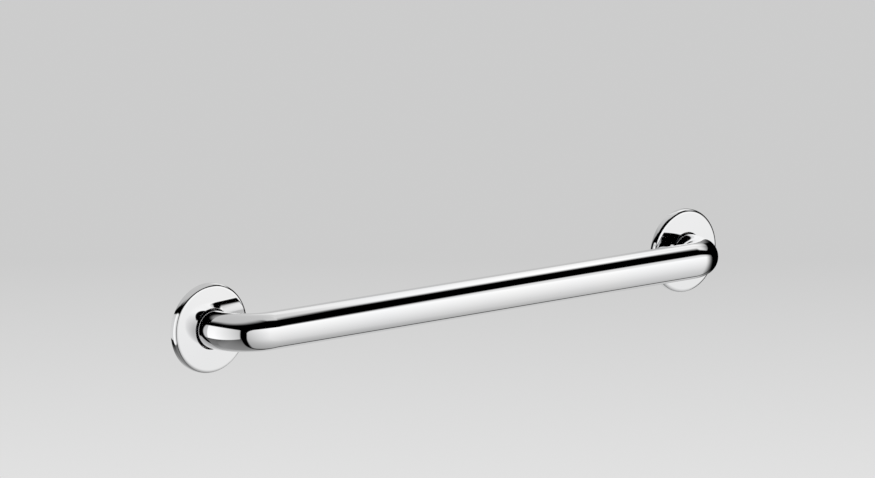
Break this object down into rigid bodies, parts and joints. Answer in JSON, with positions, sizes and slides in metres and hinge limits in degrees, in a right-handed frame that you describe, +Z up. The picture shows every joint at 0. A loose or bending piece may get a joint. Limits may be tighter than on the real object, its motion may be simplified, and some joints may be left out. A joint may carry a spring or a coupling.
{
  "type": "grab bar",
  "caption": "Straight wall grab bar: a round chrome tube bent square at both ends, with shallow round covers over screw plates at the wall.",
  "frame": {"origin": "on the wall plane, midway between the two legs, at the bar's height", "axes": "+X along the bar to the right as seen from the room, +Y into the wall, +Z up"},
  "size_m": [0.685, 0.0679, 0.085],
  "materials": {
    "bar_chrome": "bright polished chrome on a steel tube",
    "cover_chrome": "bright polished chrome on drawn sheet",
    "plate_steel": "plain rolled steel, hidden behind the cover",
    "weld_metal": "bare weld, hidden behind the cover"
  },
  "bodies": {
    "root": {"bar_tube": "bar_chrome", "left_cover": "cover_chrome", "right_cover": "cover_chrome", "left_mounting_plate": "plate_steel", "right_mounting_plate": "plate_steel", "left_weld_bead": "weld_metal", "right_weld_bead": "weld_metal"}
  },
  "joints": []
}
